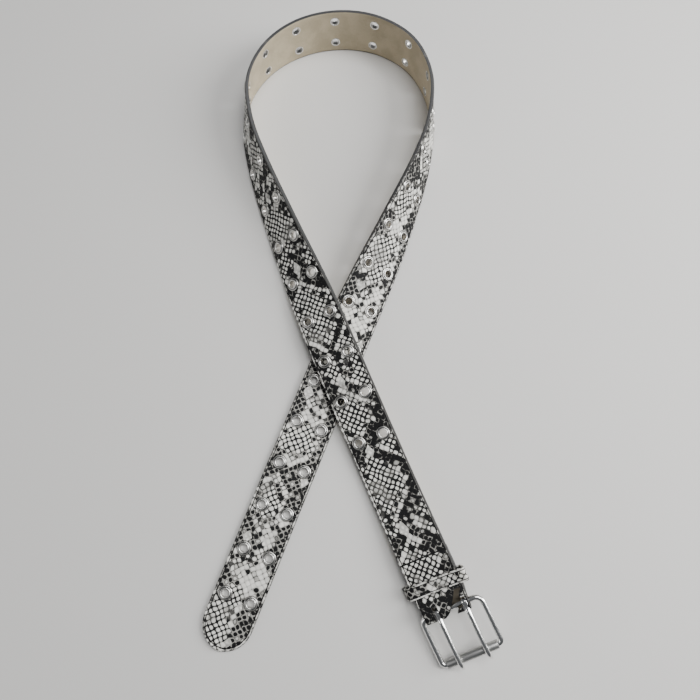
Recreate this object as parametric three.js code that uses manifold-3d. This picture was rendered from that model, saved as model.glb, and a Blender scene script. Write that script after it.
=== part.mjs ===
// Snake print belt, laid in a ribbon shape. Millimetres, +Z up, floor at z = 0.
import * as THREE from 'three';
import Module from 'manifold-3d';

const wasm = await Module();
wasm.setup();

const WIDTH = 40;
const THICKNESS = 3.2;
const TIP_LENGTH = 22;
const PITCH = 36;
const FIRST_PAIR = 40;
const PAIRS = 29;
const ROW_OFFSET = 10.8;
const HOLE_RADIUS = 4;
const HOLE_SIDES = 10;
const CELL = 12;
const GAP = 0.3;

const FOLD_RADIUS = 4.95;
const FOLD_THICKNESS = 2.1;
const FOLD_WIDTH = 36.4;
const PLY_OFFSET = 1.75;
const TAIL_END = -43;
const SLOT_WIDTH = 5;
const SLOT_BACK = -6;
const SLOT_FRONT = 9;
const PRONG_IN_STRAP = [-7.8, 14.8];
const FOLD_MIDDLE = 0.5;
const FOLD_REACH = 12;

// Slanted opening between the prongs as [across, along], wide in the upper ply and narrow in front.
const FRONT_EDGE = [[6.7, 5.5], [5.5, 9], [-3, 9], [-2.6, 5], [-0.7, 4], [2.3, 1.6]];
const UPPER_OPENING = [[11.8, -12.4], [17.6, -12.4], [13.4, -7.2], [13, 1.2], [10.2, 2.1],
  ...FRONT_EDGE, [5.5, -2.6], [9.1, -7.7]];
const FRONT_OPENING = [[7.6, -0.4], [8.4, 3.6], ...FRONT_EDGE, [4, -0.4]];

const WIRE = 2.15;
const FRAME_WIDTH = 49.1;
const FRAME_LENGTH = 37.5;
const REAR_CORNER = 5.5;
const FRONT_CORNER = 3.2;
const FRAME_SHIFT = 3;
const FRAME_PITCH = THREE.MathUtils.degToRad(4.5);
const FRAME_TURN = THREE.MathUtils.degToRad(1.2);
const ROLLER_RADIUS = 3.25;
const ROLLER_LENGTH = 42;
const PRONG_RADIUS = 1.95;
const KEEPER_WIDTH = 10;
const KEEPER_AT = -20.2;
const KEEPER_THICKNESS = 1.3;

// Plan position of the strap's middle, how far its left edge is turned up, height of its low edge.
const STATIONS = [
  { x: -102, y: -145.6, lean: 0, lift: 0 },
  { x: -60.2, y: -40.5, lean: 0, lift: 0 },
  { x: -20.4, y: 57.6, lean: 2.4, lift: 0 },
  { x: 6.8, y: 122.4, lean: 19, lift: 0 },
  { x: 36.8, y: 187.4, lean: 46, lift: 0 },
  { x: 63.4, y: 253.6, lean: 70, lift: 0 },
  { x: 71.6, y: 290, lean: 80, lift: 0 },
  { x: 70.2, y: 325.6, lean: 88, lift: 0 },
  { x: 54.2, y: 357.6, lean: 94, lift: 0 },
  { x: 23.9, y: 377.2, lean: 97, lift: 0 },
  { x: -11.2, y: 382, lean: 98, lift: 0 },
  { x: -45.8, y: 373.6, lean: 96, lift: 0 },
  { x: -74, y: 352.8, lean: 90, lift: 0 },
  { x: -90.2, y: 322, lean: 82, lift: 0 },
  { x: -90.4, y: 287.4, lean: 74, lift: 0 },
  { x: -81.4, y: 252, lean: 65, lift: 0 },
  { x: -54.6, y: 183.4, lean: 46, lift: 0.2 },
  { x: -26, y: 116.2, lean: 23, lift: 6.8 },
  { x: 2, y: 49.8, lean: 14, lift: 6.2 },
  { x: 30.8, y: -16.6, lean: 12, lift: 2.2 },
  { x: 54.7, y: -71.3, lean: 12, lift: 6.1 },
  { x: 73.5, y: -114.3, lean: 12, lift: 6.4 },
];

const UP = new THREE.Vector3(0, 0, 1);
const plan = new THREE.CatmullRomCurve3(STATIONS.map((p) => new THREE.Vector3(p.x, p.y, 0)));
plan.arcLengthDivisions = 1500;
const turn = new THREE.CatmullRomCurve3(
  STATIONS.map((p) => new THREE.Vector3(THREE.MathUtils.degToRad(p.lean), p.lift, 0)),
  false, 'catmullrom', 0.5);
const LENGTH = plan.getLength();

function centreAt(distance) {
  const t = plan.getUtoTmapping(0, THREE.MathUtils.clamp(distance, 0, LENGTH));
  const twist = turn.getPoint(t);
  const [lean, lift] = [Math.max(twist.x, 0), Math.max(twist.y, 0)];
  const point = plan.getPoint(t);
  point.z = WIDTH / 2 * Math.sin(lean) + THICKNESS / 2 * Math.abs(Math.cos(lean)) + lift;
  return { point, lean };
}

// Frame of the strap at a distance from its tip: along, across towards the raised edge, outward.
function stationAt(distance) {
  const { point, lean } = centreAt(distance);
  const before = centreAt(distance - 1).point;
  const along = centreAt(distance + 1).point.sub(before).normalize();
  const level = new THREE.Vector3().crossVectors(UP, along).normalize();
  const rise = new THREE.Vector3().crossVectors(along, level);
  const across = level.multiplyScalar(Math.cos(lean)).addScaledVector(rise, Math.sin(lean));
  return { point, along, across, normal: new THREE.Vector3().crossVectors(along, across) };
}

// The same, beside the strap's middle, where the twist tilts the leather along its length.
function seatAt(distance, offset) {
  const beside = (d) => {
    const { point, across } = stationAt(d);
    return point.addScaledVector(across, offset);
  };
  const { across } = stationAt(distance);
  const along = beside(distance + 4).sub(beside(distance - 4)).normalize();
  const normal = new THREE.Vector3().crossVectors(along, across).normalize();
  return { point: beside(distance), along, normal, across: normal.clone().cross(along) };
}

function halfWidthAt(distance) {
  if (distance >= TIP_LENGTH) return WIDTH / 2;
  const left = 1 - Math.max(distance, 0.4) / TIP_LENGTH;
  return WIDTH / 2 * Math.sqrt(1 - left * left);
}

function geometryFrom(vertices, triangles) {
  const geometry = new THREE.BufferGeometry();
  const flat = vertices.flatMap((v) => [v.x, v.y, v.z]);
  geometry.setAttribute('position', new THREE.Float32BufferAttribute(flat, 3));
  geometry.setIndex(triangles.flat());
  geometry.computeVertexNormals();
  return geometry;
}

// Skin over equal rings of points, turned anticlockwise about the direction of travel.
function loft(rings, closed) {
  const sides = rings[0].length;
  const triangles = [];
  const spans = closed ? rings.length : rings.length - 1;
  for (let i = 0; i < spans; i += 1) {
    const a = i * sides;
    const b = ((i + 1) % rings.length) * sides;
    for (let j = 0; j < sides; j += 1) {
      const k = (j + 1) % sides;
      triangles.push([a + j, a + k, b + k], [a + j, b + k, b + j]);
    }
  }
  if (!closed) {
    const last = (rings.length - 1) * sides;
    for (let j = 1; j < sides - 1; j += 1) {
      triangles.push([0, j + 1, j], [last, last + j, last + j + 1]);
    }
  }
  return geometryFrom(rings.flat(), triangles);
}

function toManifold(geometry) {
  return new wasm.Manifold(new wasm.Mesh({
    numProp: 3,
    vertProperties: new Float32Array(geometry.attributes.position.array),
    triVerts: new Uint32Array(geometry.index.array),
  }));
}

function fromManifold(solid) {
  const mesh = solid.getMesh();
  const geometry = new THREE.BufferGeometry();
  geometry.setAttribute('position', new THREE.BufferAttribute(mesh.vertProperties, 3));
  geometry.setIndex(new THREE.BufferAttribute(mesh.triVerts, 1));
  geometry.computeVertexNormals();
  return geometry;
}

// Frame of the strap's buckle end, with its origin on the rear bar.
function endFrame() {
  const end = stationAt(LENGTH - 2);
  const origin = centreAt(LENGTH).point.addScaledVector(end.normal, -PLY_OFFSET);
  return { ...end, origin };
}

// Middle line of the leather round the rear bar, from the upper ply to the end of the lower one.
function foldLine() {
  const upper = [[-30, PLY_OFFSET], [-12.6, 1.8], [-8.2, 2.9], [-4.2, 4.35]];
  const line = upper.map(([along, height]) => ({
    along, height, thick: THICKNESS, half: WIDTH / 2,
  }));
  Object.assign(line[2], { thick: 2.5, half: 19.4 });
  Object.assign(line[3], { thick: FOLD_THICKNESS, half: 18.6 });
  for (let i = 0; i <= 8; i += 1) {
    const angle = Math.PI / 2 - i * Math.PI / 8;
    line.push({
      along: FOLD_RADIUS * Math.cos(angle), height: FOLD_RADIUS * Math.sin(angle),
      thick: FOLD_THICKNESS, half: FOLD_WIDTH / 2,
    });
  }
  const lower = line.slice(0, 4).reverse().map((p) => ({ ...p, height: -p.height }));
  const tail = { along: TAIL_END, height: -PLY_OFFSET, thick: THICKNESS, half: WIDTH / 2 };
  return [...line, ...lower, tail];
}

function foldSections() {
  const { origin, along, across, normal } = endFrame();
  const line = foldLine();
  return line.map((p, i) => {
    const a = line[Math.max(i - 1, 0)];
    const b = line[Math.min(i + 1, line.length - 1)];
    const travel = new THREE.Vector2(b.along - a.along, b.height - a.height).normalize();
    if (i === 0) travel.set(1, 0);
    const outward = normal.clone().multiplyScalar(travel.x).addScaledVector(along, -travel.y);
    const centre = origin.clone().addScaledVector(along, p.along).addScaledVector(normal, p.height);
    return { centre, across, outward, half: p.half, thick: p.thick };
  });
}

function strapSections() {
  const firstCell = FIRST_PAIR - CELL / 2;
  const lastCell = FIRST_PAIR + (PAIRS - 1) * PITCH + CELL / 2;
  const distances = [0, 1, 3, 6, 10, 15, TIP_LENGTH];
  for (let d = firstCell; d <= lastCell; d += CELL) distances.push(d);
  const rest = LENGTH - 30 - lastCell;
  const steps = Math.ceil(rest / CELL);
  for (let i = 1; i < steps; i += 1) distances.push(lastCell + rest * i / steps);
  const main = distances.map((distance) => {
    const { point, across, normal } = stationAt(distance);
    const half = halfWidthAt(distance);
    const pair = (distance - firstCell) % PITCH === 0 && distance < lastCell;
    return { centre: point, across, outward: normal, half, thick: THICKNESS, distance, pair };
  });
  return [...main, ...foldSections()];
}

function cornersOf({ centre, across, outward, half, thick }) {
  return [[-1, 1], [-1, -1], [1, -1], [1, 1]].map(([side, face]) => centre.clone()
    .addScaledVector(across, side * half).addScaledVector(outward, face * thick / 2));
}

// One closed strip; a cell that holds a pair of eyelets gets its two holes.
function strapSkin() {
  const sections = strapSections();
  const vertices = sections.flatMap(cornersOf);
  const triangles = [[0, 2, 1], [0, 3, 2]];
  const quad = (a, b, c, d) => triangles.push([a, b, c], [a, c, d]);
  for (let i = 0; i < sections.length - 1; i += 1) {
    const [a, b] = [4 * i, 4 * i + 4];
    quad(a, a + 1, b + 1, b);
    quad(a + 3, b + 3, b + 2, a + 2);
    if (sections[i].pair) {
      addHoles(sections[i].distance, a, b, vertices, triangles);
    } else {
      quad(a, b, b + 3, a + 3);
      quad(a + 1, a + 2, b + 2, b + 1);
    }
  }
  const last = 4 * (sections.length - 1);
  triangles.push([last, last + 1, last + 2], [last, last + 2, last + 3]);
  return geometryFrom(vertices, triangles);
}

function addHoles(from, a, b, vertices, triangles) {
  const middle = from + CELL / 2;
  const half = WIDTH / 2;
  const contour = [[0, -half], [CELL, -half], [CELL, half], [0, half]]
    .map((p) => new THREE.Vector2(...p));
  const holes = [-ROW_OFFSET, ROW_OFFSET].map((row) => circle(HOLE_RADIUS, HOLE_SIDES)
    .map((p) => new THREE.Vector2(CELL / 2 + p.x, row + p.y)));
  const rims = [1, -1].map((face) => {
    const start = vertices.length;
    holes.flat().forEach((p) => {
      const { point, across, normal } = stationAt(middle + p.x - CELL / 2);
      vertices.push(point.addScaledVector(across, p.y)
        .addScaledVector(normal, face * THICKNESS / 2));
    });
    const corners = face > 0 ? [a, b, b + 3, a + 3] : [a + 1, b + 1, b + 2, a + 2];
    const index = (k) => (k < 4 ? corners[k] : start + k - 4);
    THREE.ShapeUtils.triangulateShape(contour, holes).forEach(([p, q, r]) => {
      triangles.push(face > 0 ? [p, q, r].map(index) : [p, r, q].map(index));
    });
    return start;
  });
  holes.forEach((hole, h) => hole.forEach((_, k) => {
    const next = (k + 1) % HOLE_SIDES;
    const [t, u] = [rims[0] + h * HOLE_SIDES + k, rims[0] + h * HOLE_SIDES + next];
    const [v, w] = [rims[1] + h * HOLE_SIDES + k, rims[1] + h * HOLE_SIDES + next];
    triangles.push([t, u, w], [t, w, v]);
  }));
}

function circle(radius, sides, start = 0) {
  return Array.from({ length: sides }, (_, k) => {
    const angle = start + 2 * Math.PI * k / sides;
    return new THREE.Vector2(radius * Math.cos(angle), radius * Math.sin(angle));
  });
}

// Upright cutter through the fold from points across and along, in the buckle end's frame.
function foldCutter(points, bottom = -FOLD_REACH) {
  const shape = new THREE.Shape(points.map(([across, along]) => new THREE.Vector2(along, across)));
  const block = new THREE.ExtrudeGeometry(shape, { depth: FOLD_REACH - bottom, bevelEnabled: false });
  block.translate(0, 0, bottom);
  block.applyMatrix4(endMatrix());
  return toManifold(merged(block));
}

function merged(geometry) {
  const source = geometry.attributes.position;
  const seen = new Map();
  const vertices = [];
  const index = [];
  for (let i = 0; i < source.count; i += 1) {
    const v = new THREE.Vector3().fromBufferAttribute(source, i);
    const key = v.toArray().map((c) => c.toFixed(4)).join();
    if (!seen.has(key)) seen.set(key, vertices.push(v) - 1);
    index.push(seen.get(key));
  }
  const triangles = [];
  for (let i = 0; i < index.length; i += 3) triangles.push(index.slice(i, i + 3));
  return geometryFrom(vertices, triangles);
}

function endMatrix() {
  const { origin, along, across, normal } = endFrame();
  return new THREE.Matrix4().makeBasis(along, across, normal).setPosition(origin);
}

function strapGeometry() {
  let solid = toManifold(strapSkin());
  for (const at of PRONG_IN_STRAP) {
    const [left, right] = [at - SLOT_WIDTH / 2, at + SLOT_WIDTH / 2];
    solid = solid.subtract(foldCutter(
      [[left, SLOT_BACK], [right, SLOT_BACK], [right, SLOT_FRONT], [left, SLOT_FRONT]]));
  }
  return fromManifold(solid
    .subtract(foldCutter(UPPER_OPENING, FOLD_MIDDLE)).subtract(foldCutter(FRONT_OPENING)));
}

function eyeletGeometry() {
  const bottom = -THICKNESS / 2;
  const seat = THICKNESS / 2 + GAP;
  const profile = [[3.1, bottom], [HOLE_RADIUS - GAP, bottom], [HOLE_RADIUS - GAP, seat],
    [5.5, seat], [5.1, seat + 0.7], [3.1, seat + 0.5], [3.1, bottom]];
  const lathe = new THREE.LatheGeometry(profile.map((p) => new THREE.Vector2(...p)), HOLE_SIDES);
  return merged(dropSlivers(lathe.rotateX(Math.PI / 2).rotateZ(Math.PI / 2).toNonIndexed()));
}

function dropSlivers(geometry) {
  const source = geometry.attributes.position;
  const kept = [];
  for (let i = 0; i < source.count; i += 3) {
    const [a, b, c] = [0, 1, 2].map((k) => new THREE.Vector3().fromBufferAttribute(source, i + k));
    if (new THREE.Triangle(a, b, c).getArea() > 1e-6) kept.push(a, b, c);
  }
  return new THREE.BufferGeometry().setFromPoints(kept);
}

// Round section wire along a flat path of [along, across, height] points; radius may vary.
function wireRings(points, radii, sides, closed) {
  return points.map((point, i) => {
    const count = points.length;
    const before = points[closed ? (i + count - 1) % count : Math.max(i - 1, 0)];
    const after = points[closed ? (i + 1) % count : Math.min(i + 1, count - 1)];
    const travel = after.clone().sub(before).normalize();
    const side = closed ? new THREE.Vector3(0, 0, 1) : new THREE.Vector3(0, 1, 0);
    const other = new THREE.Vector3().crossVectors(travel, side).normalize();
    return circle(1, sides).map((p) => point.clone()
      .addScaledVector(side, p.x * radii[i][0]).addScaledVector(other, p.y * radii[i][1]));
  });
}

function frameGeometry() {
  const half = FRAME_WIDTH / 2;
  const points = [];
  const corner = (along, across, radius, start) => {
    for (let i = 0; i <= 4; i += 1) {
      const angle = start + i * Math.PI / 8;
      points.push(new THREE.Vector3(
        along + radius * Math.cos(angle), across + radius * Math.sin(angle), 0));
    }
  };
  const front = FRAME_LENGTH - FRONT_CORNER;
  corner(front, half - FRONT_CORNER, FRONT_CORNER, 0);
  corner(REAR_CORNER, half - REAR_CORNER, REAR_CORNER, Math.PI / 2);
  corner(REAR_CORNER, REAR_CORNER - half, REAR_CORNER, Math.PI);
  corner(front, FRONT_CORNER - half, FRONT_CORNER, 1.5 * Math.PI);
  return loft(wireRings(points, points.map(() => [WIRE, WIRE]), 10, true), true);
}

function rollerGeometry() {
  const inner = WIRE + GAP;
  const half = ROLLER_LENGTH / 2;
  const profile = [[inner, -half], [ROLLER_RADIUS, -half], [ROLLER_RADIUS, half], [inner, half],
    [inner, -half]];
  const lathe = new THREE.LatheGeometry(profile.map((p) => new THREE.Vector2(...p)), 16);
  return merged(dropSlivers(lathe.toNonIndexed()));
}

// Flat eye round the rear bar that runs out into a round, bent prong lying on the roller.
function prongGeometry() {
  const points = [];
  const radii = [];
  const eye = WIRE + GAP + 0.65;
  for (let i = 0; i <= 8; i += 1) {
    const angle = THREE.MathUtils.degToRad(-40 - i * 28.75);
    points.push(new THREE.Vector3(eye * Math.cos(angle), 0, eye * Math.sin(angle)));
    radii.push([PRONG_RADIUS, 0.65]);
  }
  const rest = ROLLER_RADIUS + GAP + 1.6;
  const run = [[3.5, 3.25, 1.95, 1], [7.5, 3.7, 2, 1.7], [16, 4.3, 2, 1.9], [28, 4.9, 1.9, 1.85],
    [FRAME_LENGTH - 1, rest, 1.8, 1.6], [FRAME_LENGTH + 2.2, rest - 0.4, 1.75, 1.6],
    [FRAME_LENGTH + 4.8, rest - 2, 1.65, 1.6], [FRAME_LENGTH + 6.4, rest - 4, 1.4, 1.4],
    [FRAME_LENGTH + 6.8, rest - 4.8, 0.9, 0.9]];
  for (const [along, height, wide, deep] of run) {
    points.push(new THREE.Vector3(along, 0, height));
    radii.push([wide, deep]);
  }
  return loft(wireRings(points, radii, 8, false), false);
}

// Loose loop round both plies: pinched flat on one side, standing up in a peak on the other.
function keeperGeometry() {
  const line = [[-25.9, -3.4], [-25.3, -1.8], [-22.2, 3.5], [-20, 4.4], [-8, 4.5], [6, 4.9], [16, 6],
    [22.8, 7.6], [24.8, 7.4], [25.2, 5], [23.6, -1.2], [22, -3.7], [19.6, -4.4], [0, -4.4],
    [-22.6, -4.3], [-25.3, -4.1]].map((p) => new THREE.Vector2(...p));
  const rings = line.map((p, i) => {
    const before = line[(i + line.length - 1) % line.length];
    const after = line[(i + 1) % line.length];
    const travel = after.clone().sub(before).normalize();
    const outward = new THREE.Vector2(-travel.y, travel.x).multiplyScalar(KEEPER_THICKNESS / 2);
    const half = KEEPER_WIDTH / 2;
    return [[-half, 1], [half, 1], [half, -1], [-half, -1]].map(([along, face]) =>
      new THREE.Vector3(KEEPER_AT + along, p.x + face * outward.x, p.y + face * outward.y));
  });
  return loft(rings, true);
}

const printed = new THREE.MeshStandardMaterial({ color: 0x8d8a84, roughness: 0.5, metalness: 0 });
const steel = new THREE.MeshStandardMaterial({ color: 0xc6c6c4, roughness: 0.22, metalness: 1 });
const dull = new THREE.MeshStandardMaterial({ color: 0x8f8f8e, roughness: 0.42, metalness: 1 });

const belt = new THREE.Group();
belt.name = 'snake_print_belt';

function add(parent, name, geometry, material) {
  const mesh = new THREE.Mesh(geometry, material);
  mesh.name = name;
  parent.add(mesh);
  return mesh;
}

add(belt, 'strap', strapGeometry(), printed);

const end = new THREE.Group();
end.applyMatrix4(endMatrix());
belt.add(end);
add(end, 'keeper', keeperGeometry(), printed);

const buckle = new THREE.Group();
buckle.position.y = FRAME_SHIFT;
buckle.rotation.set(0, FRAME_PITCH, FRAME_TURN, 'ZYX');
end.add(buckle);
add(buckle, 'buckle_frame', frameGeometry(), steel);
add(buckle, 'roller', rollerGeometry(), dull).position.x = FRAME_LENGTH;
['prong_left', 'prong_right'].forEach((name, i) => {
  add(buckle, name, prongGeometry(), steel).position.y = PRONG_IN_STRAP[i] - FRAME_SHIFT;
});

// Two pairs at the crossing are left as plain holes, to keep to 60 solids: 7 is covered, 27 shows.
const PLAIN_PAIRS = [7, 27];
for (let pair = 1; pair <= PAIRS; pair += 1) {
  if (PLAIN_PAIRS.includes(pair)) continue;
  for (const [row, side] of [['a', 1], ['b', -1]]) {
    const seat = seatAt(FIRST_PAIR + (pair - 1) * PITCH, side * ROW_OFFSET);
    const eyelet = add(belt, `eyelet_${String(pair).padStart(2, '0')}${row}`, eyeletGeometry(), steel);
    eyelet.applyMatrix4(new THREE.Matrix4()
      .makeBasis(seat.along, seat.across, seat.normal).setPosition(seat.point));
  }
}

const bounds = new THREE.Box3().setFromObject(belt);
const middle = bounds.getCenter(new THREE.Vector3());
belt.position.set(-middle.x, -middle.y, -bounds.min.z);

export default belt;
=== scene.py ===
# Snake print belt laid in a ribbon shape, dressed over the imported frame.
# The belt is worked out in millimetres: s along the strap from its tip, a across it towards the
# raised edge, h up from the middle of the leather. The meshes are in metres.
from functools import lru_cache
from math import cos, hypot, pi, radians, sin, sqrt, tau

import bmesh
import bpy
from mathutils import Matrix, Vector


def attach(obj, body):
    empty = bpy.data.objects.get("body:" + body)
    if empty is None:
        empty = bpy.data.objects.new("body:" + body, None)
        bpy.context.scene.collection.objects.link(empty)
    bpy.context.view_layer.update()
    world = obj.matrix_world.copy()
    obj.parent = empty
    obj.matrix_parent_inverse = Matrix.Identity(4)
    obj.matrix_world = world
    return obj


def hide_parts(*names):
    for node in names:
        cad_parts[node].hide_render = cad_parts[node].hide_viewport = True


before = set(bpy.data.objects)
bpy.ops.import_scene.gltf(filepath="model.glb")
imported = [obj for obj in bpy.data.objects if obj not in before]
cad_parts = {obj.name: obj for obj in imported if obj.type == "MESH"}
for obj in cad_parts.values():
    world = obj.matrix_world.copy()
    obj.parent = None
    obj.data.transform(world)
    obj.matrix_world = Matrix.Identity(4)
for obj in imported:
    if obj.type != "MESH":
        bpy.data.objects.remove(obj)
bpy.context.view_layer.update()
print("frame loaded")

# camera, floor and light
studio = {
    "cameraAt": (-0.001751, -0.11363, 0.467833), "cameraTilt": 10.78, "lens": 28.8,
    "floorSize": 8.0, "floorColour": (0.66, 0.65, 0.63),
    "worldColour": (0.62, 0.64, 0.68), "worldPower": 0.16,
    "lamps": [  # name, place, aim, width, height, watts
        ("overhead", (0.35, 0.45, 1.5), (0, 0, 0), 0.9, 0.9, 20),
        ("rightSide", (1.2, 0.1, 0.8), (0, 0, 0), 0.5, 1.0, 29),
        ("leftSide", (-1.3, -0.5, 0.8), (0, -0.05, 0), 0.4, 1.0, 4),
    ],
}

cameraData = bpy.data.cameras.new("camera")
cameraData.lens = studio["lens"]
cameraData.sensor_width = 36
cameraData.clip_start = 0.01
camera = bpy.data.objects.new("camera", cameraData)
camera.location = studio["cameraAt"]
camera.rotation_euler = (radians(studio["cameraTilt"]), 0, 0)
bpy.context.scene.collection.objects.link(camera)
bpy.context.scene.camera = camera


# shader maths
class Signal:
    # the output of a node, used in sums

    def __init__(self, finish, socket):
        self.finish = finish
        self.socket = socket

    def maths(self, operation, *others):
        values = {i + 1: other for i, other in enumerate(others)}
        return self.finish.node("ShaderNodeMath", {"operation": operation}, {0: self, **values})

    def __add__(self, other):
        return self.maths("ADD", other)

    __radd__ = __add__

    def __sub__(self, other):
        return self.maths("SUBTRACT", other)

    def __rsub__(self, other):
        return self.finish.node("ShaderNodeMath", {"operation": "SUBTRACT"}, {0: other, 1: self})

    def __mul__(self, other):
        return self.maths("MULTIPLY", other)

    def __truediv__(self, other):
        return self.maths("DIVIDE", other)

    def __pow__(self, other):
        return self.maths("POWER", other)

    def __abs__(self):
        return self.maths("ABSOLUTE")

    def floor(self):
        return self.maths("FLOOR")

    def greater(self, other):
        return self.maths("MAXIMUM", other)

    def smaller(self, other):
        return self.maths("MINIMUM", other)

    def step(self, low, high):
        # rises smoothly from 0 to 1 between two values
        return self.finish.node("ShaderNodeMapRange", {"interpolation_type": "SMOOTHSTEP"}, {
            "Value": self, "From Min": low, "From Max": high})

    def parts(self):
        kind = "ShaderNodeSeparateXYZ"
        return [self.finish.node(kind, {}, {0: self}, output) for output in range(3)]


class Finish:
    # a material under construction

    def __init__(self, name):
        self.material = bpy.data.materials.new(name)
        self.material.use_nodes = True
        self.tree = self.material.node_tree
        self.tree.nodes.clear()

    def node(self, kind, settings=None, values=None, output=0):
        made = self.tree.nodes.new(kind)
        for key, setting in (settings or {}).items():
            setattr(made, key, setting)
        for key, value in (values or {}).items():
            if isinstance(value, Signal):
                self.tree.links.new(value.socket, made.inputs[key])
            else:
                made.inputs[key].default_value = value
        return Signal(self, made.outputs[output])

    def vector(self, x, y, z=0.0):
        return self.node("ShaderNodeCombineXYZ", {}, {0: x, 1: y, 2: z})

    def mix(self, factor, first, last):
        first, last = [(*c, 1) if isinstance(c, tuple) else c for c in (first, last)]
        return self.node("ShaderNodeMix", {"data_type": "RGBA"}, {0: factor, 6: first, 7: last}, 2)

    def noise(self, place, scale, detail, roughness, output=0):
        # output 0 is a value, output 1 a colour
        return self.node("ShaderNodeTexNoise", {}, {
            "Vector": place, "Scale": scale, "Detail": detail, "Roughness": roughness}, output)

    def bump(self, height, depth, strength):
        return self.node("ShaderNodeBump", {}, {
            "Strength": strength, "Distance": depth, "Height": height})

    def surface(self, **sockets):
        named = {"colour": "Base Color", "roughness": "Roughness", "metallic": "Metallic",
                 "normal": "Normal", "sheen": "Sheen Weight", "specular": "Specular IOR Level"}
        values = {named[key]: (*v, 1) if isinstance(v, tuple) else v for key, v in sockets.items()}
        shader = self.node("ShaderNodeBsdfPrincipled", {}, values)
        end = self.tree.nodes.new("ShaderNodeOutputMaterial")
        self.tree.links.new(shader.socket, end.inputs["Surface"])
        return self.material


# finishes
printSizes = {
    "scale": 3.75, "sway": 2.6, "swayGrain": 0.07, "wobble": 2.0, "wobbleGrain": 0.19,
    # the stretch whose printed side is hidden repeats the print this far nearer the tip
    "repeatFrom": 440, "repeatTo": 812, "repeat": 400,
    "pale": (0.89, 0.875, 0.82), "warm": (0.70, 0.675, 0.60), "grey": (0.23, 0.225, 0.21),
    "inkAndShadow": (0.005, 0.005, 0.0055), "web": (0.40, 0.39, 0.36), "paint": (0.075, 0.073, 0.07),
    # crease inside the edge and its pale rim, and the outline of painted shadow round an eyelet by
    # squared distance
    "creaseIn": 2.2, "creaseWide": 0.42, "rimStrength": 0.75, "outline": (31, 38),
    "eyeletShadowStrength": 0.85, "eyeletShadowsFrom": 30, "eyeletShadowsTo": 1053,
    # painted border of the raised edge: where it sets in along the strap, and its width
    "borderFrom": (430, 520), "borderWide": (1.25, 1.5),
    # blotches of small scales, each bounded by two rising and two falling edges and across the
    # strap: rise is s + a, fall is s - a. Rise from, rise to, fall from, fall to, low, high
    "blotches": [
        (-10, 60, -20, 52, -4, 22), (64, 88, 44, 67, 3, 20), (58, 80, 62, 88, -9, 2),
        (97, 146, 84, 132, -7, 19), (148, 197, 142, 192, -12, 20), (190, 214, 188, 214, -9, 9),
        (226, 264, 228, 262, -12, 14), (288, 308, 284, 309, -6, 9), (312, 368, 306, 364, -13, 18),
        (368, 414, 358, 404, -9, 18), (412, 456, 420, 470, -14, 12), (785, 816, 800, 838, -20, 4),
        (822, 858, 795, 823, 8, 22), (822, 878, 830, 885, -20, 17), (856, 883, 874, 916, -20, 4),
        (898, 926, 856, 884, 8, 22), (901, 963, 906, 975, -20, 16), (972, 1040, 930, 996, 3, 22),
        (968, 991, 976, 1006, -13, -1), (995, 1041, 1009, 1058, -20, 15),
        (1058, 1092, 1022, 1054, 5, 22), (1048, 1107, 1064, 1128, -20, 13),
        (1121, 1172, 1070, 1119, 5, 22), (1094, 1112, 1120, 1140, -20, -6),
        (1126, 1180, 1132, 1190, -20, 11), (1196, 1236, 1202, 1246, -16, 20),
        (1238, 1290, 1232, 1290, -12, 16)],
    # patches where the pale scales run together round a few dark ones, with the same columns
    "patches": [
        (34, 70, 46, 80, -18, 10), (74, 93, 84, 101, -9, 1), (88, 104, 100, 120, -14, -5),
        (181, 204, 184, 208, -11, 8), (258, 302, 258, 300, -18, 14), (284, 314, 300, 326, -15, -4),
        (322, 338, 348, 362, -16, -8), (352, 378, 356, 382, -13, 9), (392, 420, 402, 424, -17, 4)],
    # plain pale diamonds: place along and across, half length, half height
    "diamonds": [
        (8, -6, 4, 3), (34, -4, 5, 2.6), (85, 12, 5.5, 4.2), (87, -4, 5, 3.2), (141, -14, 7, 4.2),
        (209, 11, 7, 4.4), (262, -13, 5, 3.2), (308, 7, 5, 4), (367, 3.5, 5, 4),
        (826, -1, 5.5, 4.2), (867, -4, 4, 4), (895, -1, 8, 4), (998, -4, 7, 4),
        (1057, -5, 5.6, 4), (1124, -5, 8, 4.2), (1204, 4, 6, 4)],
}
# soft thresholds of the print: below the first value is none of it, above the second all of it
printSteps = {
    "nearTip": (150, 420), "nearBuckle": (700, 830),  # along the strap
    "inside": (-0.02, 0.02), "pastRim": (0.78, 0.82), "pastMoat": (1.6, 1.64),  # in scales
    "fullScale": (-0.05, 0.05), "loneScale": (0.26, 0.36), "shading": (0.4, 1.0),
    "ring": (0.36, 0.45), "relief": (0.30, 0.46), "diamond": (0.9, 1.02),
    "moatLuck": (0.60, 0.62), "rimLuck": (0.79, 0.81), "patchLuck": (0.16, 0.18),  # by chance
    "darkLuck": (0.74, 0.75), "loneLuck": (0.86, 0.87), "wider": (0.5, 0.7), "warm": (0.48, 0.72),
    "fadedPart": (0.53, 0.60), "fadedBy": (0.35, 0.6), "ringBroken": (0.56, 0.72),
    "speck": (0.62, 0.74), "worn": (0.42, 0.60),
}


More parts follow.
